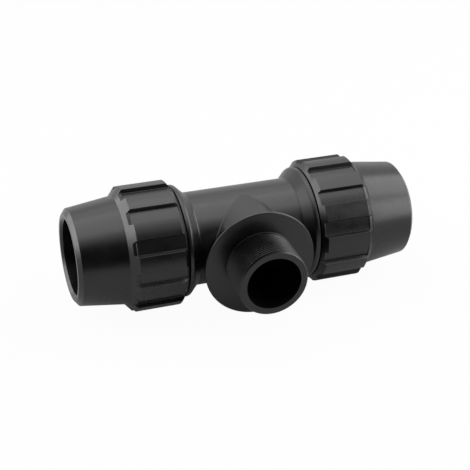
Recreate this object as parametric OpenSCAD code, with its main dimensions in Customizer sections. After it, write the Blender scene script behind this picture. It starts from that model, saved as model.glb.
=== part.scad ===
// Compression tee for polyethylene pipe, with a threaded branch.
// The run lies along X, the branch points along -Y, and +Z is up.
// The origin is where the run axis and the branch axis cross.
// Each end of the run holds a seal, a bush and a split grip ring under a screwed nut.

/* [Pipe] */
// Outside diameter of the pipe that enters each end of the run
pipe_d = 63; // [56:0.5:75]
// Gap on the radius between the pipe and its socket
pipe_gap = 0.3; // [0.2:0.05:0.5]
// Distance from the branch axis to the stop that the pipe end meets
stop_x = 30; // [26:0.5:34]
// Diameter of the waterway between the two stops
waterway_d = 56; // [50:0.5:60]

/* [Barrel] */
// Wall of the barrel round the pipe socket
barrel_wall = 8.4; // [6:0.1:10]
// Distance from the branch axis to the face that each nut closes on
collar_x = 57.8; // [55:0.1:64]
// Width of the straight band of the collar
collar_w = 3.5; // [2.5:0.1:6]
// Height of the collar above the spigot
collar_step = 3.8; // [3:0.1:5]
// Length of the sloping shoulder between the collar and the barrel
shoulder_l = 8.3; // [6:0.1:10]
// Radius of the rounding where the shoulder meets the collar
shoulder_round = 3; // [1:0.1:4]
// Radius of the fillet at the foot of the shoulder
shoulder_fillet = 2.3; // [1:0.1:4]

/* [Spigot] */
// Length of the threaded spigot under each nut
spigot_l = 26; // [24:0.5:32]
// Wall of the spigot outside the seal seat
spigot_wall = 7; // [5:0.1:9]
// Depth of the seal seat in the end of the spigot
seat_depth = 14; // [12:0.5:18]
// Chamfer on the outside end of the spigot
spigot_chamfer = 1.2; // [0.6:0.1:2]

/* [Branch] */
// Major diameter of the branch thread
thread_d = 59.614; // [56:0.1:62]
// Length of the branch thread
thread_l = 32.6; // [24:0.1:40]
// Chamfer at the start of the branch thread
thread_chamfer = 1.2; // [0.6:0.1:2]
// Bore of the branch
branch_bore_d = 47; // [42:0.5:50]
// Diameter of the plain stub between the barrel and the flange
stub_d = 80; // [72:0.5:80]
// Distance from the run axis to the front face of the flange
flange_y = 56.7; // [52:0.1:62]
// Diameter of the flange
flange_d = 96.2; // [92:0.5:102]
// Thickness of the flange at its round rim
flange_rim = 2.5; // [2:0.1:4]
// Radius of the flare that runs from the stub out to the flange
flare_round = 16; // [12:0.5:20]

/* [Nut] */
// Gap on the radius between the spigot and the nut
nut_gap = 0.3; // [0.25:0.05:0.5]
// Gap between the collar and the back of a closed nut
shut_gap = 0.6; // [0.4:0.1:1.5]
// Wall of the nut round the spigot, between the grip pads
nut_wall = 5.6; // [5:0.1:8]
// Length of the straight top of a grip pad
pad_l = 38.6; // [30:0.1:40]
// Height of a grip pad
pad_h = 3.5; // [1.5:0.1:5]
// Width of the top of a grip pad, in degrees
pad_angle = 15; // [12:0.1:20]
// Lean of a grip pad's sides towards its middle, in degrees
pad_lean = 20; // [5:1:25]
// Number of grip pads round the nut
pad_count = 12; // [8:1:14]
// Length of the chamfer at the back of a grip pad
back_chamfer = 4.6; // [3:0.1:6]
// Length of the slope from the pads down to the nose
front_chamfer = 6.8; // [5:0.1:9]
// Height of the low ledges that close both ends of the space between two pads
ledge_h = 0.8; // [0.4:0.1:1.2]
// Length of the ledge at the nose end
ledge_l = 1.5; // [1:0.1:2.5]
// Wall of the nose outside the grip ring
nose_wall = 6.5; // [4.5:0.1:7]
// Length of the lip in front of the grip ring
lip_l = 13.5; // [11:0.1:18]
// Gap on the radius between the pipe and the mouth of the nut
mouth_gap = 0.4; // [0.3:0.05:0.8]
// Wall of the lip at the mouth
lip_wall = 9.5; // [8:0.1:11]
// Length of the outside chamfer on the lip
lip_chamfer_l = 3.3; // [2:0.1:5]
// Height of the outside chamfer on the lip
lip_chamfer_h = 4.3; // [3:0.1:5]
// Chamfer that leads the pipe into the mouth
lead_in = 2.1; // [1:0.1:2.5]
// Turn of the left nut's pads from the top towards the branch, in degrees
left_turn = 15.75; // [0:0.25:30]
// Turn of the right nut's pads from the top towards the branch, in degrees
right_turn = 25.5; // [0:0.25:30]

/* [Seal and grip] */
// Thickness of the seal ring
seal_d = 5.8; // [5:0.1:6.5]
// Gap between the seal ring and the pipe and seat
seal_gap = 0.1; // [0.05:0.05:0.2]
// Width of the bush's flange
bush_flange = 5; // [4:0.1:7]
// Gap between the bush and its neighbours
bush_gap = 0.15; // [0.1:0.05:0.3]
// Length of the split grip ring
ring_l = 46; // [40:0.5:52]
// Wall of the grip ring at its thin end
ring_wall = 4.4; // [3.5:0.1:5]
// Gain in the grip ring's outside radius from the thin end to the thick end
ring_taper = 6; // [5:0.1:7]
// Gap between the grip ring and the pipe, the bush and the nut
ring_gap = 0.3; // [0.25:0.05:0.5]
// Width of the slit in the grip ring
ring_slit = 8; // [5:0.5:12]
// Distance from one tooth of the grip ring to the next
tooth_pitch = 5; // [4:0.25:7]
// Depth of the teeth inside the grip ring
tooth_h = 1.4; // [0.8:0.1:1.8]

/* [Hidden] */
$fn = 96;
// Overlap that keeps cutters clear of the faces they cut
eps = 1;

// Radii of the barrel and spigot, worked outwards from the pipe
pipe_r = pipe_d / 2;
socket_r = pipe_r + pipe_gap;
waterway_r = waterway_d / 2;
barrel_r = socket_r + barrel_wall;
seat_r = socket_r + seal_d;
spigot_r = seat_r + spigot_wall;
collar_r = spigot_r + collar_step;
shoulder_x1 = collar_x - collar_w;
shoulder_x0 = shoulder_x1 - shoulder_l;
shoulder_angle = atan((collar_r - barrel_r) / shoulder_l);
round_reach = shoulder_round * tan(shoulder_angle / 2);
round_rise = round_reach * sin(shoulder_angle);
round_x0 = shoulder_x1 - round_reach * cos(shoulder_angle);
round_x1 = shoulder_x1 + round_reach;
fillet_reach = shoulder_fillet * tan(shoulder_angle / 2);
fillet_rise = fillet_reach * sin(shoulder_angle);
fillet_x0 = shoulder_x0 - fillet_reach;
fillet_x1 = shoulder_x0 + fillet_reach * cos(shoulder_angle);
spigot_x = collar_x + spigot_l;
seat_x = spigot_x - seat_depth;

// Radii and stations of the branch
thread_r = thread_d / 2;
branch_bore_r = branch_bore_d / 2;
stub_r = stub_d / 2;
flange_r = flange_d / 2;
rim_r = flange_rim / 2;
branch_end = flange_y + thread_l;
flange_back = flange_y - flange_rim;
flare_rise = flange_r - rim_r - stub_r;
flare_start = flange_back - sqrt(flare_round ^ 2 - (flare_round - flare_rise) ^ 2);

// Stations and radii of the bush and the grip ring
bush_r = seat_r - bush_gap;
bush_flange_r = spigot_r - 3;
bush_x0 = seat_x + seal_d + 2 * seal_gap + bush_gap;
bush_x1 = spigot_x + bush_gap;
bush_x2 = bush_x1 + bush_flange;
ring_x0 = bush_x2 + ring_gap;
ring_x1 = ring_x0 + ring_l;
ring_bore_r = pipe_r + pipe_gap / 3;
ring_r1 = ring_bore_r + ring_wall;
ring_r0 = ring_r1 + ring_taper;
ring_slope = ring_taper / ring_l;
tooth_count = floor((ring_l - 2) / tooth_pitch);

// Stations and radii of the nut
nut_bore_r = spigot_r + nut_gap;
nut_r = nut_bore_r + nut_wall;
pad_r = nut_r + pad_h;
pad_pitch = 360 / pad_count;
ledge_r = nut_r + ledge_h;
ledge_step = 0.5;
ledge_fall = 0.47;
mouth_r = pipe_r + mouth_gap;
lip_r = mouth_r + lip_wall;
nut_x0 = collar_x + shut_gap;
nut_step_x = bush_x1 + 2;
pocket_x = ring_x1 + 1;
nut_x1 = pocket_x + lip_l;
pad_x0 = nut_x0 + back_chamfer;
pad_x1 = pad_x0 + pad_l;
nose_x = pad_x1 + front_chamfer;
nose_r = pocket_r(nose_x) + nose_wall;
back_r = collar_r + 0.2;
ledge_x0 = nut_x0 + back_chamfer * (ledge_r - back_r) / (pad_r - back_r);
ledge_x1 = pad_x1 + front_chamfer * (pad_r - ledge_r) / (pad_r - nose_r) - ledge_l;

// Radius of the nut's tapered pocket at station x: the grip ring plus its gap
function pocket_r(x) = ring_r0 + ring_gap - (x - ring_x0) * ring_slope;

// Turns a shape made up the Z axis so that it lies along the run
module along_run() {
    rotate([0, 90, 0]) children();
}

// Turns a shape made up the Z axis so that it lies along the branch
module along_branch() {
    rotate([90, 0, 0]) children();
}

// Half of the barrel's outside, with radius across and station up
module barrel_section() {
    difference() {
        polygon([
            [0, 0],
            [barrel_r, 0],
            [barrel_r, shoulder_x0],
            [collar_r, shoulder_x1],
            [collar_r, collar_x],
            [spigot_r, collar_x],
            [spigot_r, spigot_x - spigot_chamfer],
            [spigot_r - spigot_chamfer, spigot_x],
            [0, spigot_x]
        ]);
        // Rounding where the shoulder meets the collar
        difference() {
            polygon([
                [collar_r - round_rise, round_x0],
                [collar_r + eps, round_x0],
                [collar_r + eps, round_x1],
                [collar_r - shoulder_round, round_x1]
            ]);
            translate([collar_r - shoulder_round, round_x1]) circle(shoulder_round);
        }
    }
    // Fillet at the foot of the shoulder
    difference() {
        polygon([
            [barrel_r - eps, fillet_x0],
            [barrel_r + shoulder_fillet, fillet_x0],
            [barrel_r + fillet_rise, fillet_x1],
            [barrel_r - eps, fillet_x1]
        ]);
        translate([barrel_r + shoulder_fillet, fillet_x0]) circle(shoulder_fillet);
    }
}

// Half of the hollow inside the barrel: waterway, pipe socket and seal seat
module hollow_section() {
    square([waterway_r, stop_x + eps]);
    translate([0, stop_x]) square([socket_r, seat_x - stop_x + eps]);
    translate([0, seat_x]) square([seat_r, seat_depth + eps]);
}

// Outside of the branch: stub, flare, round-rimmed flange and thread blank
module branch_section() {
    square([stub_r, flange_back]);
    // Flare, a hollow curve from the stub to the back of the flange
    difference() {
        translate([0, flare_start]) square([flange_r - rim_r, flange_back - flare_start]);
        translate([stub_r + flare_round, flare_start]) circle(flare_round, $fn = 180);
    }
    // Flange with a half-round rim
    translate([0, flange_back]) square([flange_r - rim_r, flange_rim]);
    translate([flange_r - rim_r, flange_back + rim_r]) circle(rim_r);
    // Blank of the thread, plain at its major diameter
    polygon([
        [0, flange_y],
        [thread_r, flange_y],
        [thread_r, branch_end - thread_chamfer],
        [thread_r - thread_chamfer, branch_end],
        [0, branch_end]
    ]);
}

// One-piece moulded body
module tee_body() {
    color("#26282a")
    difference() {
        union() {
            along_run() rotate_extrude() for (s = [0, 1]) mirror([0, s]) barrel_section();
            along_branch() rotate_extrude() branch_section();
        }
        along_run() rotate_extrude() for (s = [0, 1]) mirror([0, s]) hollow_section();
        along_branch() cylinder(r = branch_bore_r, h = branch_end + eps);
    }
}

// Nut through its pads: back chamfer, pad top, slope and tapering nose to the mouth
module nut_section() {
    polygon([
        [0, nut_x0],
        [back_r, nut_x0],
        [pad_r, pad_x0],
        [pad_r, pad_x1],
        [nose_r, nose_x],
        [lip_r, nut_x1 - lip_chamfer_l],
        [lip_r - lip_chamfer_h, nut_x1],
        [0, nut_x1]
    ]);
}

// Ring that is cut away between the pads, with a low ledge left at the back and one at the nose
module channel_section() {
    polygon([
        [nut_r, ledge_x0 + ledge_step],
        [nut_r, ledge_x1 - ledge_step],
        [ledge_r, ledge_x1],
        [ledge_r - ledge_fall * (nose_x - ledge_x1), nose_x],
        [pad_r + eps, nose_x],
        [pad_r + eps, ledge_x0 - ledge_step * (pad_h + eps - ledge_h) / ledge_h]
    ]);
}

// Wedge that keeps one pad: its sides lean towards the pad's middle plane
module pad_wedge() {
    inner_r = nut_r - 2 * eps;
    outer_r = pad_r + 2 * eps;
    half_w = pad_r * sin(pad_angle / 2);
    edge_r = pad_r * cos(pad_angle / 2);
    inner_w = half_w + (edge_r - inner_r) * tan(pad_lean);
    outer_w = half_w + (edge_r - outer_r) * tan(pad_lean);
    translate([0, 0, nut_x0 - eps]) linear_extrude(height = nose_x - nut_x0 + 2 * eps)
        polygon([[inner_r, -inner_w], [outer_r, -outer_w], [outer_r, outer_w], [inner_r, inner_w]]);
}

// Inside of the nut: thread bore, tapered pocket, mouth and lead-in
module nut_hollow() {
    polygon([
        [0, nut_x0 - eps],
        [nut_bore_r, nut_x0 - eps],
        [nut_bore_r, nut_step_x],
        [pocket_r(nut_step_x), nut_step_x],
        [pocket_r(pocket_x), pocket_x],
        [mouth_r, pocket_x],
        [mouth_r, nut_x1 - lead_in],
        [mouth_r + lead_in, nut_x1],
        [mouth_r + lead_in, nut_x1 + eps],
        [0, nut_x1 + eps]
    ]);
}

// Compression nut, turned as one so that a pad lies at the given angle from the top
module nut(turn) {
    color("#2a2c2e")
    along_run() rotate(180 + turn) difference() {
        rotate_extrude() nut_section();
        difference() {
            rotate_extrude() channel_section();
            for (i = [0 : pad_count - 1]) rotate(i * pad_pitch) pad_wedge();
        }
        rotate_extrude() nut_hollow();
    }
}

// Split grip ring: a tapered ring with teeth inside and one slit along it
module grip_ring() {
    color("#1c1d1f")
    along_run() difference() {
        rotate_extrude() polygon(concat(
            [[ring_r0, ring_x0], [ring_r1, ring_x1], [ring_bore_r, ring_x1]],
            [for (i = [tooth_count - 1 : -1 : 0]) each [
                [ring_bore_r, ring_x0 + (i + 1) * tooth_pitch],
                [ring_bore_r + tooth_h, ring_x0 + (i + 1) * tooth_pitch - 0.8],
                [ring_bore_r, ring_x0 + i * tooth_pitch + 0.6]
            ]],
            [[ring_bore_r, ring_x0]]
        ));
        translate([-ring_r0 - eps, -ring_slit / 2, ring_x0 - eps])
            cube([ring_r0 + eps, ring_slit, ring_l + 2 * eps]);
    }
}

// Pressure bush: a sleeve that pushes on the seal and a flange that the grip ring pushes on
module bush() {
    color("#34363a")
    along_run() rotate_extrude() polygon([
        [socket_r, bush_x0],
        [bush_r, bush_x0],
        [bush_r, bush_x1],
        [bush_flange_r, bush_x1],
        [bush_flange_r, bush_x2],
        [socket_r, bush_x2]
    ]);
}

// Seal ring in its seat
module seal() {
    color("#141414")
    along_run() translate([0, 0, seat_x + seal_gap + seal_d / 2])
        rotate_extrude() translate([seat_r - seal_gap - seal_d / 2, 0]) circle(d = seal_d, $fn = 48);
}

// Left half of the fitting is the right half mirrored across the branch
module left() {
    mirror([1, 0, 0]) children();
}

tee_body();
left() nut(left_turn);  // left_nut
nut(right_turn);  // right_nut
left() grip_ring();  // left_grip_ring
grip_ring();  // right_grip_ring
left() bush();  // left_bush
bush();  // right_bush
left() seal();  // left_seal
seal();  // right_seal
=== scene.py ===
import bmesh
import bpy
import math
from mathutils import Matrix, Vector


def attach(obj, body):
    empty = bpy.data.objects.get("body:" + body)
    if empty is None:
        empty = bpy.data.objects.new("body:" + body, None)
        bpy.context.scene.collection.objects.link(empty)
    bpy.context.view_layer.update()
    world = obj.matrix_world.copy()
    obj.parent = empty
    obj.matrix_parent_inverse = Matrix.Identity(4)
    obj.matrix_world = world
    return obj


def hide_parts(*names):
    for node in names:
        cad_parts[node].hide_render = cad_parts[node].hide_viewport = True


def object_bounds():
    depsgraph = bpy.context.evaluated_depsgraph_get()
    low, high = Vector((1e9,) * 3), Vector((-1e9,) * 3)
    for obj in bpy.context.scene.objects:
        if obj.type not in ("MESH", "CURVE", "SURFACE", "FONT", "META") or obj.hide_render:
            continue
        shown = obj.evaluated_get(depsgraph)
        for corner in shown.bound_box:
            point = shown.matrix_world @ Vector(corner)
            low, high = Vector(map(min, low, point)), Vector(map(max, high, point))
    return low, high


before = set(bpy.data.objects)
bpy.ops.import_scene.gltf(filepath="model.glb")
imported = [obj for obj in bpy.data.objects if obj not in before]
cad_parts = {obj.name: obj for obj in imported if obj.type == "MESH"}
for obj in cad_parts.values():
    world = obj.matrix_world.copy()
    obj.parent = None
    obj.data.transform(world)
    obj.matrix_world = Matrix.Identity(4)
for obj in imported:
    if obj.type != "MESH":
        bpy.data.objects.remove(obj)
cad_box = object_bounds()

# A compression tee for 63 mm pipe with a threaded branch. Names ending in _R are radii and names ending in _X
# or _Y are stations along the run or the branch, all in millimetres. Names ending in _DEG are degrees.
MM = 0.001
# In metres: a nudge past a coordinate, and the widest gaps merged in the body and in the nuts
NUDGE, BODY_GAP, NUT_GAP = 1e-6, 5e-8, 2e-6
# In millimetres: how near a station must be to count as the same, and the radius from which a round is large
NEAR, LARGE_ROUND = 0.01, 5
AXIS_RUN = Vector((1, 0, 0))
AXIS_BRANCH = Vector((0, -1, 0))

# Steps round a full turn of the body, of a thread groove, and across one pad and one gap of a nut
BODY_STEPS = 168
GROOVE_STEPS = 72
PAD_STEPS = 8
GAP_STEPS = 8

# Run of the body, outside
BARREL_R, SPIGOT_R, COLLAR_R = 40.2, 44.6, 48.4
SHOULDER_FOOT_X, SHOULDER_TOP_X, COLLAR_X, SPIGOT_X = 46.0, 54.3, 57.8, 83.8
SHOULDER_FOOT_ROUND, SHOULDER_TOP_ROUND = 2.3, 3.0
COLLAR_EDGE, EDGE, FINE_EDGE = 0.35, 0.3, 0.2
END_CHAMFER = 1.2
BARREL_RINGS = range(-42, 43, 4)
# Radius inside which the outsides are closed, all of which the bores take away again
CORE_R = 20.0

# Run of the body, inside
WATERWAY_R, SOCKET_R, SEAT_R = 28.0, 31.8, 37.6
STOP_X, SEAT_X = 30.0, 69.8
SEAT_ROUND = 0.5
# How far cutters reach past the faces that they cut through
OVERCUT, BORE_OVERCUT, GROOVE_OVERCUT = 2.0, 3.0, 0.2

# Branch of the body: the stub narrows from the run's axis to its neck and flares out to the flange
STUB_R, NECK_R, FLARE_R = 40.2, 36.5, 15.9
FLANGE_R, FLANGE_BACK_Y, FLANGE_Y = 48.1, 54.2, 56.7
FLARE_TOP_R, RIM_ROUND = FLANGE_R - 1.25, 1.24
BORE_R, THREAD_R, BRANCH_END_Y = 23.5, 29.807, 89.29
THREAD_EDGE = 0.15
FLARE_RISE = FLARE_TOP_R - NECK_R
# Slope at which the flare runs into the flange's back, and the stations of its corner and start. The slope is
# that of a radius a hair larger, which leaves a sliver of straight skin before the flange.
FLARE_EASE = 0.1
FLARE_END = math.acos(1 - FLARE_RISE / (FLARE_R + FLARE_EASE))
FLARE_CORNER_Y = FLANGE_BACK_Y - FLARE_RISE / math.tan(FLARE_END)
FLARE_START_Y = FLARE_CORNER_Y - FLARE_R * math.tan(FLARE_END / 2)

# Fillet of the saddle, where the stub stands on the barrel
SADDLE_FILLET = 1.25
FILLET_STEPS = 6
# Rings of the stub's foot, counted from the core: the core, one below the barrel's skin, then the fillet's
CORE_RING, SUNK_RING, FILLET_RING = 1, 2, 3
CORE_RING_Y = 15.0
SUNK_SHARE = 0.94
FILLET_LIFT = 0.04

# Branch thread, a 2 inch pipe thread, and the coarse thread between spigots and nuts
THREAD_PITCH, THREAD_DEPTH, THREAD_ROOT, THREAD_FLANK_DEG = 2.309, 1.45, 0.3, 27.5
THREAD_LEAD_IN, THREAD_TURNS = 1.6, 14.6
NUT_PITCH, NUT_THREAD_DEPTH, NUT_THREAD_ROOT, NUT_FLANK_DEG = 6.0, 1.5, 1.3, 30
NUT_THREAD_LEAD_IN, NUT_THREAD_TURNS = 2.6, 4.4

# Nut, outside: back slope, pads, front slope and nose
NUT_X0, NUT_X1 = 58.8, 149.74
BACK_R, PAD_X0, PAD_X1, PAD_R = 48.6, 63.0, 101.6, 53.98
NOSE_X, NOSE_R, NOSE_END_X, NOSE_END_R, LIP_R = 108.4, 46.3, 146.45, 41.4, 37.1
# Gaps between the pads: their floor, and the ledge that closes each end
FLOOR_R, LEDGE_H, LEDGE_L, LEDGE_STEP, LEDGE_FALL = 50.5, 0.8, 1.5, 0.5, 0.47
# How far past the front ledge's brow the pads' front slope has its extra corner
BROW_L = 1.0
# Radius that tells the skin of pads and gaps, outside it, from the back rim and the nose
SKIN_R = 49.0
PAD_COUNT = 12
PAD_DEG, PITCH_DEG, PAD_LEAN_DEG = 15.0, 30.0, 11.0
NUT_EDGE, NUT_CORNER_DEG = 0.25, 14

# Nut, inside: mouth with its lead-in, tapered pocket of the grip ring, and thread bore
MOUTH_R, MOUTH_LIP_R, MOUTH_LEAD_IN = 31.9, 34.0, 2.1
POCKET_X0, POCKET_X1 = 85.95, 136.25
POCKET_GAUGE_R, POCKET_GAUGE_X, POCKET_FALL, POCKET_L = 42.3, 89.25, 6, 46
NUT_BORE_R = 44.9

# Angle of each nut's first pad round the run, from the top
LEFT_TURN_DEG, RIGHT_TURN_DEG = 15.75, 25.5

# Camera: place in millimetres, heading from +Y towards +X, tilt up and roll
CAMERA_PLACE = Vector((-312.961, -852.810, 527.026))
CAMERA_HEADING_DEG, CAMERA_TILT_DEG, CAMERA_ROLL_DEG = 19.998, -30.3145, 1.375
SENSOR, FOCAL_PX, PICTURE_PX = 36.0, 1207.133, 470


# Materials

# Polypropylene's; acetal and nitrile rubber lie within 0.03 of it
PLASTIC_IOR = 1.49


def linear(hex_colour):
    """A colour written as sRGB hex, turned to the linear values that Blender works in."""
    out = []
    for i in (1, 3, 5):
        c = int(hex_colour[i:i + 2], 16) / 255
        out.append(c / 12.92 if c <= 0.04045 else ((c + 0.055) / 1.055) ** 2.4)
    return (*out, 1.0)


def add(tree, kind, links=None, values=None, **options):
    """Adds a node, sets its options and the values of its sockets, and links other nodes' outputs into it."""
    node = tree.nodes.new(kind)
    for option, value in options.items():
        setattr(node, option, value)
    for socket, value in (values or {}).items():
        node.inputs[socket].default_value = value
    for socket, output in (links or {}).items():
        tree.links.new(output, node.inputs[socket])
    return node


def empty_tree(holder):
    """Turns on a material's or world's nodes, removes those it starts with and returns its tree."""
    holder.use_nodes = True
    holder.node_tree.nodes.clear()
    return holder.node_tree


def moulded(name, colour, roughness, specular=0.5, grain_depth_mm=0.012, rough_swing=0.05):
    """A moulded finish: an even colour with faint flow shades, a fine grain and a slightly uneven gloss."""
    mat = bpy.data.materials.new(name)
    tree = empty_tree(mat)
    place = add(tree, "ShaderNodeTexCoord").outputs["Object"]
    # Grain left by the mould's spark-eroded steel. The real one is about 0.1 mm, too fine to show in the
    # render, so it is drawn at 0.6 mm.
    grain_mm = 0.6
    grain = add(tree, "ShaderNodeTexNoise", {"Vector": place},
                {"Scale": 1 / (grain_mm * MM), "Detail": 3.0, "Roughness": 0.6})
    bump = add(tree, "ShaderNodeBump", {"Height": grain.outputs["Fac"]},
               {"Strength": 1.0, "Distance": grain_depth_mm * MM})
    # Flow shades, centimetres long, as the melt cools and shrinks unevenly
    flow_mm = 14.0
    colour_swing = 0.12
    flow = add(tree, "ShaderNodeTexNoise", {"Vector": place},
               {"Scale": 1 / (flow_mm * MM), "Detail": 2.0, "Roughness": 0.5})
    # A noise like this stays between these two values nearly everywhere
    noise_range = {"From Min": 0.3, "From Max": 0.7}
    gloss = add(tree, "ShaderNodeMapRange", {"Value": flow.outputs["Fac"]},
                {**noise_range, "To Min": roughness - rough_swing, "To Max": roughness + rough_swing})
    shade = add(tree, "ShaderNodeMapRange", {"Value": flow.outputs["Fac"]},
                {**noise_range, "To Min": 1 - colour_swing, "To Max": 1 + colour_swing})
    tint = add(tree, "ShaderNodeVectorMath", {"Scale": shade.outputs["Result"]},
               {0: linear(colour)[:3]}, operation="SCALE")
    shader = add(tree, "ShaderNodeBsdfPrincipled",
                 {"Base Color": tint.outputs["Vector"], "Roughness": gloss.outputs["Result"],
                  "Normal": bump.outputs["Normal"]},
                 {"IOR": PLASTIC_IOR, "Specular IOR Level": specular})
    add(tree, "ShaderNodeOutputMaterial", {"Surface": shader.outputs["BSDF"]})
    return mat


# Turning, joining and finishing shapes

def along(axis, station, radius):
    """The place of a profile point before it is spun: station along the axis, radius up."""
    return axis * station * MM + Vector((0, 0, radius * MM))


def outline(bm, axis, corners, segments=5):
    """Draws a closed profile from (station, radius, rounding) corners and rounds the corners."""
    points = [along(axis, s, r) for s, r, _ in corners]
    verts = [bm.verts.new(p) for p in points]
    for i, v in enumerate(verts):
        bm.edges.new((v, verts[(i + 1) % len(verts)]))
    for i, (_, _, rounding) in enumerate(corners):
        if not rounding:
            continue
        before = (points[i] - points[i - 1]).normalized()
        after = (points[(i + 1) % len(points)] - points[i]).normalized()
        reach = rounding * MM * math.tan(before.angle(after) / 2)
        # A large round, such as the flare, gets twice the steps of an edge
        count = segments if rounding < LARGE_ROUND else segments * 2
        bmesh.ops.bevel(bm, geom=[verts[i]], offset=reach, offset_type="OFFSET", segments=count, profile=0.5,
                        affect="VERTICES", material=-1, clamp_overlap=False)
    return list(bm.edges)


def spin_round(bm, edges, axis, degrees=360.0, steps=BODY_STEPS, pitch=0.0):
    """Spins a profile round an axis through the origin; a pitch, per full turn, makes it a helix."""
    full = abs(degrees - 360.0) < 1e-6 and not pitch
    verts = list(dict.fromkeys(v for e in edges for v in e.verts))
    bmesh.ops.spin(bm, geom=verts + edges, cent=(0, 0, 0), axis=axis, angle=math.radians(degrees),
                   steps=steps, dvec=axis * pitch * MM * degrees / 360 / steps, use_merge=full,
                   use_duplicate=False)


def close_up(bm, gap=NUDGE):
    """Merges doubles, up to a gap in metres, and turns all faces outwards."""
    bmesh.ops.remove_doubles(bm, verts=bm.verts, dist=gap)
    bmesh.ops.recalc_face_normals(bm, faces=bm.faces)


def as_object(bm, name, smooth_below_deg=32.0):
    """Makes the mesh an object in the scene, smooth apart from its corners."""
    for f in bm.faces:
        f.smooth = True
    limit = math.radians(smooth_below_deg)
    for e in bm.edges:
        if len(e.link_faces) == 2:
            e.smooth = e.calc_face_angle(0) < limit
    mesh = bpy.data.meshes.new(name)
    bm.to_mesh(mesh)
    bm.free()
    obj = bpy.data.objects.new(name, mesh)
    bpy.context.scene.collection.objects.link(obj)
    return obj


def turned(axis, corners, segments=5):
    """A closed solid turned round an axis."""
    bm = bmesh.new()
    spin_round(bm, outline(bm, axis, corners, segments), axis)
    close_up(bm)
    return bm


def combine(base, other, operation):
    """Joins or cuts base with other, keeps the result in base and removes other."""
    mod = base.modifiers.new("join", "BOOLEAN")
    mod.operation = operation
    mod.solver = "EXACT"
    mod.object = other
    bpy.context.view_layer.update()
    result = bpy.data.meshes.new_from_object(base.evaluated_get(bpy.context.evaluated_depsgraph_get()))
    base.modifiers.clear()
    old = base.data
    base.data = result
    bpy.data.meshes.remove(old)
    gone = other.data
    bpy.data.objects.remove(other)
    bpy.data.meshes.remove(gone)


# Body

def both_ends(right):
    """A full profile of the run from the (radius, station, rounding) corners of its right half."""
    return [(x, r, c) for r, x, c in right] + [(-x, r, c) for r, x, c in reversed(right)]


def run_outside():
    """Barrel, rounded shoulders, collars and spigots, closed down to a core that the hollow takes away."""
    bm = turned(AXIS_RUN, both_ends([
        (BARREL_R, SHOULDER_FOOT_X, SHOULDER_FOOT_ROUND), (COLLAR_R, SHOULDER_TOP_X, SHOULDER_TOP_ROUND),
        (COLLAR_R, COLLAR_X, COLLAR_EDGE), (SPIGOT_R, COLLAR_X, EDGE),
        (SPIGOT_R, SPIGOT_X - END_CHAMFER, FINE_EDGE), (SPIGOT_R - END_CHAMFER, SPIGOT_X, FINE_EDGE),
        (CORE_R, SPIGOT_X, 0)]))
    # Rings along the barrel keep its shading even where the branch cuts in
    for station in BARREL_RINGS:
        bmesh.ops.bisect_plane(bm, geom=list(bm.verts) + list(bm.edges) + list(bm.faces),
                               plane_co=(station * MM, 0, 0), plane_no=(1, 0, 0))
    return as_object(bm, "run")


def run_hollow():
    """Waterway, pipe sockets and seal seats."""
    end = SPIGOT_X + OVERCUT
    bm = turned(AXIS_RUN, both_ends([
        (WATERWAY_R, STOP_X, EDGE), (SOCKET_R, STOP_X, EDGE), (SOCKET_R, SEAT_X, EDGE),
        (SEAT_R, SEAT_X, SEAT_ROUND), (SEAT_R, end, 0), (0.0, end, 0)]))
    return as_object(bm, "hollow")


def saddle(angle):
    """Centre of the fillet ball between barrel and stub, and where it touches each, in millimetres.

    The angle goes round the branch. The ball's distance along the branch and its reach from the branch's axis
    depend on each other, so they are found by turns.
    """
    ball_r = BARREL_R + SADDLE_FILLET
    y = ball_r
    for _ in range(12):
        over = max(0.0, y - FLARE_START_Y)
        foot = NECK_R + (STUB_R - NECK_R) * max(0.0, 1 - y / FLARE_START_Y)
        reach = foot + FLARE_R - math.sqrt((FLARE_R - SADDLE_FILLET) ** 2 - over ** 2)
        y = math.sqrt(max(0.0, ball_r ** 2 - (reach * math.sin(angle)) ** 2))
    outwards = Vector((math.cos(angle), 0, math.sin(angle)))
    centre = outwards * reach - Vector((0, y, 0))
    on_barrel = Vector((centre.x, centre.y * BARREL_R / ball_r, centre.z * BARREL_R / ball_r))
    if over > 0:
        flare_centre = outwards * (NECK_R + FLARE_R) - Vector((0, FLARE_START_Y, 0))
        on_stub = flare_centre + (centre - flare_centre).normalized() * FLARE_R
    else:
        on_stub = outwards * foot - Vector((0, y, 0))
    return centre, on_barrel, on_stub


def foot_place(ring, angle):
    """Where a point of the stub's foot goes: under the barrel's skin at first, then up the fillet."""
    centre, on_barrel, on_stub = saddle(angle)
    if ring == CORE_RING:
        return Vector((CORE_R * math.cos(angle), -CORE_RING_Y, CORE_R * math.sin(angle)))
    if ring == SUNK_RING:
        return Vector((on_barrel.x, on_barrel.y * SUNK_SHARE, on_barrel.z * SUNK_SHARE))
    start = (on_barrel - centre).normalized()
    end = (on_stub - centre).normalized()
    place = centre + start.slerp(end, (ring - FILLET_RING) / FILLET_STEPS) * SADDLE_FILLET
    if ring == FILLET_RING:
        # A hair above the barrel, so that the skins cross at a clear angle
        place += Vector((0, on_barrel.y, on_barrel.z)).normalized() * FILLET_LIFT
    return place


def flare_place(station, angle):
    """Where a point of the flare goes: its arc starts where the fillet leaves off."""
    on_stub = saddle(angle)[2]
    first = math.asin(max(0.0, -on_stub.y - FLARE_START_Y) / FLARE_R)
    slope = math.asin(min(1.0, max(0.0, station - FLARE_START_Y) / FLARE_R))
    slope = first + slope * (FLARE_END - first) / FLARE_END
    reach = NECK_R + FLARE_R * (1 - math.cos(slope))
    y = -FLARE_START_Y - FLARE_R * math.sin(slope)
    return Vector((reach * math.cos(angle), y, reach * math.sin(angle)))


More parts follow.
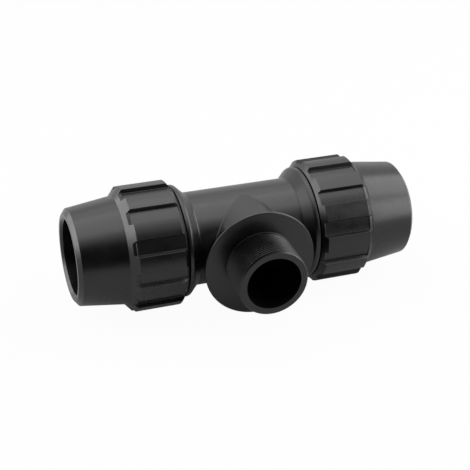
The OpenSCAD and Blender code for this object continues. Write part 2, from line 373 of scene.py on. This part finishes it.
def branch_outside():
    """Stub with its fillet to the barrel, flare, round-rimmed flange and blank of the threaded end."""
    last_ring = FILLET_RING + FILLET_STEPS
    corners = [(float(CORE_RING), CORE_R, 0)]
    corners += [(float(ring), NECK_R, 0) for ring in range(SUNK_RING, last_ring + 1)]
    corners += [
        (FLARE_CORNER_Y, NECK_R, FLARE_R), (FLANGE_BACK_Y, FLARE_TOP_R, 0),
        (FLANGE_BACK_Y, FLANGE_R, RIM_ROUND), (FLANGE_Y, FLANGE_R, RIM_ROUND), (FLANGE_Y, THREAD_R, EDGE),
        (BRANCH_END_Y - END_CHAMFER, THREAD_R, THREAD_EDGE),
        (BRANCH_END_Y, THREAD_R - END_CHAMFER, FINE_EDGE), (BRANCH_END_Y, CORE_R, 0)]
    bm = turned(AXIS_BRANCH, corners, segments=6)
    # The foot's rings were spun at stations of 1, 2, 3 mm and so on; here they are laid along the saddle
    for v in bm.verts:
        station = -v.co.y / MM
        angle = math.atan2(v.co.z, v.co.x)
        if station <= last_ring + 0.5:
            v.co = foot_place(round(station), angle) * MM
        elif FLARE_START_Y - NEAR < station < FLANGE_BACK_Y - NEAR:
            v.co = flare_place(station, angle) * MM
    close_up(bm)
    return as_object(bm, "branch")


def groove_cutter(axis, radius, depth, pitch, root, flank_deg, start, turns):
    """A helical wedge that cuts a thread groove, right-handed along the axis."""
    bm = bmesh.new()
    top = radius + GROOVE_OVERCUT
    half_top = root / 2 + (depth + GROOVE_OVERCUT) * math.tan(math.radians(flank_deg))
    wedge = [(start - root / 2, radius - depth), (start + root / 2, radius - depth),
             (start + half_top, top), (start - half_top, top)]
    face = bm.faces.new([bm.verts.new(along(axis, s, r)) for s, r in wedge])
    copy = bmesh.ops.duplicate(bm, geom=[face] + list(face.edges) + list(face.verts))
    spin_round(bm, [e for e in copy["geom"] if isinstance(e, bmesh.types.BMEdge)], axis,
               degrees=360.0 * turns, steps=int(GROOVE_STEPS * turns), pitch=pitch)
    close_up(bm)
    # The wedge's far end
    bmesh.ops.holes_fill(bm, edges=bm.edges, sides=8)
    bmesh.ops.recalc_face_normals(bm, faces=bm.faces)
    return as_object(bm, "groove")


def bore_cutter():
    """The branch's bore, from the middle of the waterway out past the thread."""
    end = BRANCH_END_Y + BORE_OVERCUT
    return as_object(turned(AXIS_BRANCH, [(0, BORE_R, 0), (end, BORE_R, 0), (end, 0, 0), (0, 0, 0)]), "bore")


def moulded_body():
    """The one-piece body with its branch thread and spigot threads."""
    branch = branch_outside()
    groove = groove_cutter(AXIS_BRANCH, THREAD_R, THREAD_DEPTH, THREAD_PITCH, THREAD_ROOT,
                           THREAD_FLANK_DEG, FLANGE_Y + THREAD_LEAD_IN, THREAD_TURNS)
    combine(branch, groove, "DIFFERENCE")
    body = run_outside()
    combine(body, branch, "UNION")
    combine(body, run_hollow(), "DIFFERENCE")
    combine(body, bore_cutter(), "DIFFERENCE")
    # Coarse threads of the nuts, seen on the spigots once the nuts are backed off
    for side in (-1, 1):
        groove = groove_cutter(AXIS_RUN * side, SPIGOT_R, NUT_THREAD_DEPTH, NUT_PITCH, NUT_THREAD_ROOT,
                               NUT_FLANK_DEG, COLLAR_X + NUT_THREAD_LEAD_IN, NUT_THREAD_TURNS)
        combine(body, groove, "DIFFERENCE")
    bm = bmesh.new()
    bm.from_mesh(body.data)
    # Only points that the cuts left on top of each other: a wider gap pinches a sliver at the thread's end
    bmesh.ops.remove_doubles(bm, verts=bm.verts, dist=BODY_GAP)
    old = body.data
    bpy.data.objects.remove(body)
    bpy.data.meshes.remove(old)
    return as_object(bm, "moulded_body")


# Nuts

def crossing(a, b, c, d):
    """Where the lines a-b and c-d of a profile meet."""
    (x1, y1), (x2, y2), (x3, y3), (x4, y4) = a, b, c, d
    k = ((x1 - x3) * (y3 - y4) - (y1 - y3) * (x3 - x4)) / ((x1 - x2) * (y3 - y4) - (y1 - y2) * (x3 - x4))
    return x1 + k * (x2 - x1), y1 + k * (y2 - y1)


def pocket_r(station):
    """Radius of the grip ring's tapered pocket."""
    return POCKET_GAUGE_R - (station - POCKET_GAUGE_X) * POCKET_FALL / POCKET_L


def nut_profile():
    """Corners of the nut's wall, where its skin stations sink to in the gaps, and the skin's two ends."""
    ledge_r = FLOOR_R + LEDGE_H
    back_slope = (NUT_X0, BACK_R), (PAD_X0, PAD_R)
    front_slope = (PAD_X1, PAD_R), (NOSE_X, NOSE_R)
    back = crossing(*back_slope, (0, ledge_r), (1, ledge_r))
    brow_x = crossing(*front_slope, (0, ledge_r), (1, ledge_r))[0] - LEDGE_L
    front = crossing(*front_slope, (brow_x, ledge_r), (brow_x + 1, ledge_r - LEDGE_FALL))
    middle = crossing(*front_slope, (brow_x + BROW_L, 0), (brow_x + BROW_L, 1))
    corners = [
        (NUT_X0, BACK_R), back, (PAD_X0, PAD_R), (PAD_X1, PAD_R), middle, front, (NOSE_X, NOSE_R),
        (NOSE_END_X, NOSE_END_R), (NUT_X1, LIP_R), (NUT_X1, MOUTH_LIP_R), (NUT_X1 - MOUTH_LEAD_IN, MOUTH_R),
        (POCKET_X1, MOUTH_R), (POCKET_X1, pocket_r(POCKET_X1)), (POCKET_X0, pocket_r(POCKET_X0)),
        (POCKET_X0, NUT_BORE_R), (NUT_X0, NUT_BORE_R)]
    sunk = {PAD_X0: (back[0] + LEDGE_STEP, FLOOR_R), PAD_X1: (brow_x - LEDGE_STEP, FLOOR_R),
            middle[0]: (brow_x, ledge_r)}
    return corners, sunk, back[0], front[0]


def half_width(radius):
    """Half of a pad's width in degrees where its leaning side passes a given radius."""
    lean = math.tan(math.radians(PAD_LEAN_DEG))
    top = math.radians(PAD_DEG / 2)
    # The side is the plane across = foot - lean * up, with up along the pad's middle
    foot = PAD_R * (math.sin(top) + lean * math.cos(top))
    slant = math.atan(lean)
    return math.degrees(math.asin(foot * math.cos(slant) / radius) - slant)


def sink_gap(bm, side, pad_faces, sunk, low, high):
    """Sinks the skin between two pads to the gap's floor and ledges; low and high are its ends in metres."""
    def in_skin(f):
        return all(low < abs(v.co.x) < high and math.hypot(v.co.y, v.co.z) > SKIN_R * MM for v in f.verts)

    skin = [f for f in bm.faces if f not in pad_faces and in_skin(f)]
    lowered = bmesh.ops.extrude_face_region(bm, geom=skin)
    bmesh.ops.delete(bm, geom=skin, context="FACES_ONLY")
    for v in (g for g in lowered["geom"] if isinstance(g, bmesh.types.BMVert)):
        for station, (to_station, to_radius) in sunk.items():
            if abs(abs(v.co.x) - station * MM) < NUDGE:
                k = to_radius * MM / math.hypot(v.co.y, v.co.z)
                v.co = Vector((side * to_station * MM, v.co.y * k, v.co.z * k))
    bmesh.ops.remove_doubles(bm, verts=bm.verts, dist=NUDGE)


def lean_sides(bm, high):
    """Leans the pad's sides: it grows wider, and the gap beside it narrower, towards the floor."""
    half_pad = PAD_DEG / 2
    for v in bm.verts:
        radius = math.hypot(v.co.y, v.co.z)
        if abs(v.co.x) > high + 2 * NUDGE or radius < SKIN_R * MM:
            continue
        wide = half_width(radius / MM)
        # Angle round the run, from the middle of the pad
        angle = math.degrees(math.atan2(-v.co.y, v.co.z)) - half_pad
        if angle <= half_pad:
            new = angle * wide / half_pad
        else:
            new = wide + (angle - half_pad) * (PITCH_DEG - 2 * wide) / (PITCH_DEG - PAD_DEG)
        new = math.radians(new + half_pad)
        v.co = Vector((v.co.x, -radius * math.sin(new), radius * math.cos(new)))


def screw_nut(name, side, turn_deg):
    """Compression nut: one pad and one gap are spun, the gap's skin is sunk, and the pair goes round."""
    corners, sunk, low, high = nut_profile()
    low = low * MM - NUDGE
    high = high * MM + NUDGE
    bm = bmesh.new()
    verts = [bm.verts.new(along(AXIS_RUN * side, s, r)) for s, r in corners]
    edges = [bm.edges.new((v, verts[(i + 1) % len(verts)])) for i, v in enumerate(verts)]
    pad = bmesh.ops.spin(bm, geom=verts + edges, cent=(0, 0, 0), axis=AXIS_RUN, angle=math.radians(PAD_DEG),
                         steps=PAD_STEPS, use_duplicate=False)
    pad_faces = set(bm.faces)
    bmesh.ops.spin(bm, geom=pad["geom_last"], cent=(0, 0, 0), axis=AXIS_RUN,
                   angle=math.radians(PITCH_DEG - PAD_DEG), steps=GAP_STEPS, use_duplicate=False)
    sink_gap(bm, side, pad_faces, sunk, low, high)
    lean_sides(bm, high)
    bmesh.ops.spin(bm, geom=list(bm.verts) + list(bm.edges) + list(bm.faces), cent=(0, 0, 0), axis=AXIS_RUN,
                   angle=math.radians(360 - PITCH_DEG), steps=PAD_COUNT - 1, use_duplicate=True)
    close_up(bm, NUT_GAP)
    # The first pad starts at the top; its middle goes to the nut's own angle
    bmesh.ops.rotate(bm, verts=bm.verts, cent=(0, 0, 0),
                     matrix=Matrix.Rotation(math.radians(turn_deg - PAD_DEG / 2), 3, AXIS_RUN))
    nut = as_object(bm, name, smooth_below_deg=NUT_CORNER_DEG)
    bevel = nut.modifiers.new("edges", "BEVEL")
    bevel.width = NUT_EDGE * MM
    bevel.segments = 3
    bevel.limit_method = "ANGLE"
    bevel.angle_limit = math.radians(NUT_CORNER_DEG)
    bevel.harden_normals = True
    bevel.use_clamp_overlap = True
    return nut


# Pieces and their finishes

# Black polypropylene, injection moulded in a fine-eroded mould: near-black with a soft, wide sheen
body_plastic = moulded("moulded black polypropylene", "#080809", 0.30, rough_swing=0.03)
# The same from the nuts' mould: a touch greyer and glossier, so the pads' tops stand out from the barrel
nut_plastic = moulded("moulded black polypropylene, nut", "#090909", 0.29, rough_swing=0.03)
# Acetal fills its mould sharply, so the grip rings' teeth show crisp lines of light
ring_plastic = moulded("moulded black acetal", "#0d0d0e", 0.30, grain_depth_mm=0.006)
# Polypropylene with little pigment from a plainer mould: the bushes look dull and dark grey
bush_plastic = moulded("moulded grey-black polypropylene", "#121213", 0.42)
# Nitrile rubber is the dullest of the five: a dark ring with no clear highlight
seal_rubber = moulded("smooth nitrile rubber", "#0c0c0c", 0.55, specular=0.4, grain_depth_mm=0.008)

body = moulded_body()
body.data.materials.append(body_plastic)
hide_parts("tee_body")
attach(body, "body")

for side, word, turn_deg in ((-1, "left", LEFT_TURN_DEG), (1, "right", RIGHT_TURN_DEG)):
    nut = screw_nut(word + "_screw_nut", side, turn_deg)
    nut.data.materials.append(nut_plastic)
    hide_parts(word + "_nut")
    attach(nut, word + "_cap")

for node, material in (("grip_ring", ring_plastic), ("bush", bush_plastic), ("seal", seal_rubber)):
    for word in ("left", "right"):
        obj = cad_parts[word + "_" + node]
        obj.data.materials.clear()
        obj.data.materials.append(material)


# Studio

# Softboxes: name, azimuth (0 behind the fitting, 90 to its right) and elevation in degrees, distance, width
# and height in metres, and radiance, where 1 looks white
SOFTBOXES = (
    ("softbox_top", 0, 88, 1.4, 1.5, 1.3, 1.85),
    ("softbox_back", 0, 55, 1.5, 1.6, 0.8, 1.0),
    ("softbox_left", -75, 30, 1.4, 0.9, 0.6, 3.2),
    ("strip_left", -75, 10, 1.4, 0.8, 0.42, 5.0),
    ("softbox_back_left", -45, 14, 1.5, 0.7, 0.6, 2.8),
    ("softbox_right", 90, 38, 1.4, 1.1, 0.85, 3.6),
    ("strip_right", 100, 9, 1.4, 0.6, 0.38, 4.5),
    ("softbox_front_right", 130, 19, 1.5, 0.7, 0.95, 3.8))
# Share of plain white in the paper for the camera, which leaves a soft shadow, and for reflections, which
# mostly see the lit paper with the shadow round the fitting
PAPER_WHITE_SEEN, PAPER_WHITE_MIRRORED = 0.96, 0.12
WORLD_LIGHT, WORLD_SEEN = 0.35, 1.0
# Sizes in metres
PAPER_HALF, PAPER_DROP = 6.0, 0.0002
CARD_HALF_WIDTH, CARD_HALF_HEIGHT, CARD_PLACE = 2.7, 1.0, (-1.3, -1.5, 0.95)


def softbox(name, azimuth, elevation, distance, width, height, radiance):
    """A soft panel that faces the fitting."""
    data = bpy.data.lights.new(name, "AREA")
    data.shape = "RECTANGLE"
    data.size, data.size_y = width, height
    data.energy = math.pi * width * height * radiance
    lamp = bpy.data.objects.new(name, data)
    a, e = math.radians(azimuth), math.radians(elevation)
    way = Vector((math.sin(a) * math.cos(e), math.cos(a) * math.cos(e), math.sin(e)))
    lamp.location = way * distance
    lamp.rotation_euler = (-way).to_track_quat("-Z", "Y").to_euler()
    bpy.context.scene.collection.objects.link(lamp)


def paper_floor():
    """White paper under the fitting: white to the camera, with the fitting's shadow on it."""
    bm = bmesh.new()
    bmesh.ops.create_grid(bm, x_segments=1, y_segments=1, size=PAPER_HALF)
    bmesh.ops.translate(bm, verts=bm.verts, vec=(0, 0, cad_box[0][2] - PAPER_DROP))
    floor = as_object(bm, "studio_floor")
    mat = bpy.data.materials.new("white paper sweep")
    tree = empty_tree(mat)
    rays = add(tree, "ShaderNodeLightPath")
    seen = add(tree, "ShaderNodeMath",
               {0: rays.outputs["Is Camera Ray"], 1: rays.outputs["Is Transmission Ray"]},
               operation="MAXIMUM")
    direct = add(tree, "ShaderNodeMath", {0: seen.outputs[0]}, {1: PAPER_WHITE_SEEN}, operation="MULTIPLY")
    mirrored = add(tree, "ShaderNodeMath", {0: rays.outputs["Is Glossy Ray"]}, {1: PAPER_WHITE_MIRRORED},
                   operation="MULTIPLY")
    share = add(tree, "ShaderNodeMath", {0: direct.outputs[0], 1: mirrored.outputs[0]}, operation="MAXIMUM")
    paper = add(tree, "ShaderNodeBsdfDiffuse", values={"Color": linear("#c4c4c4")})
    white = add(tree, "ShaderNodeEmission", values={"Strength": 1.0})
    mix = add(tree, "ShaderNodeMixShader", {0: share.outputs[0], 1: paper.outputs[0], 2: white.outputs[0]})
    add(tree, "ShaderNodeOutputMaterial", {"Surface": mix.outputs[0]})
    floor.data.materials.append(mat)
    return floor


def studio_world():
    """White to the camera and to reflections, and a weaker fill light on the fitting."""
    world = bpy.data.worlds.new("studio")
    bpy.context.scene.world = world
    tree = empty_tree(world)
    rays = add(tree, "ShaderNodeLightPath")
    either = add(tree, "ShaderNodeMath",
                 {0: rays.outputs["Is Camera Ray"], 1: rays.outputs["Is Glossy Ray"]}, operation="MAXIMUM")
    seen = add(tree, "ShaderNodeMath",
               {0: either.outputs[0], 1: rays.outputs["Is Transmission Ray"]}, operation="MAXIMUM")
    level = add(tree, "ShaderNodeMapRange", {"Value": seen.outputs[0]},
                {"To Min": WORLD_LIGHT, "To Max": WORLD_SEEN})
    white = add(tree, "ShaderNodeBackground", {"Strength": level.outputs["Result"]},
                {"Color": (1, 1, 1, 1)})
    add(tree, "ShaderNodeOutputWorld", {"Surface": white.outputs[0]})


def dark_card():
    """Black card behind the camera, unseen by it: it darkens the sides that face the camera."""
    bm = bmesh.new()
    bmesh.ops.create_grid(bm, x_segments=1, y_segments=1, size=1.0)
    bmesh.ops.scale(bm, verts=bm.verts, vec=(CARD_HALF_WIDTH, CARD_HALF_HEIGHT, 1.0))
    bmesh.ops.rotate(bm, verts=bm.verts, cent=(0, 0, 0), matrix=Matrix.Rotation(math.radians(90), 3, "X"))
    bmesh.ops.translate(bm, verts=bm.verts, vec=CARD_PLACE)
    card = as_object(bm, "dark_card")
    mat = bpy.data.materials.new("black flock card")
    tree = empty_tree(mat)
    shader = add(tree, "ShaderNodeBsdfPrincipled",
                 values={"Base Color": linear("#0a0a0a"), "Roughness": 1.0, "Specular IOR Level": 0.0})
    add(tree, "ShaderNodeOutputMaterial", {"Surface": shader.outputs["BSDF"]})
    card.data.materials.append(mat)
    card.visible_camera = False
    card.visible_shadow = False
    return card


def set_camera():
    """Places the camera, turned by its heading, tilt and roll."""
    camera = bpy.data.objects.new("camera", bpy.data.cameras.new("camera"))
    bpy.context.scene.collection.objects.link(camera)
    camera.data.sensor_width = SENSOR
    camera.data.lens = SENSOR * FOCAL_PX / PICTURE_PX
    camera.data.clip_end = 50
    heading = Matrix.Rotation(math.radians(-CAMERA_HEADING_DEG), 4, "Z")
    tilt = Matrix.Rotation(math.radians(90 + CAMERA_TILT_DEG), 4, "X")
    roll = Matrix.Rotation(math.radians(CAMERA_ROLL_DEG), 4, "Z")
    camera.matrix_world = Matrix.Translation(CAMERA_PLACE * MM) @ heading @ tilt @ roll
    bpy.context.scene.camera = camera


paper_floor()
dark_card()
studio_world()
for panel in SOFTBOXES:
    softbox(*panel)
set_camera()
bpy.context.scene.view_settings.view_transform = "Standard"
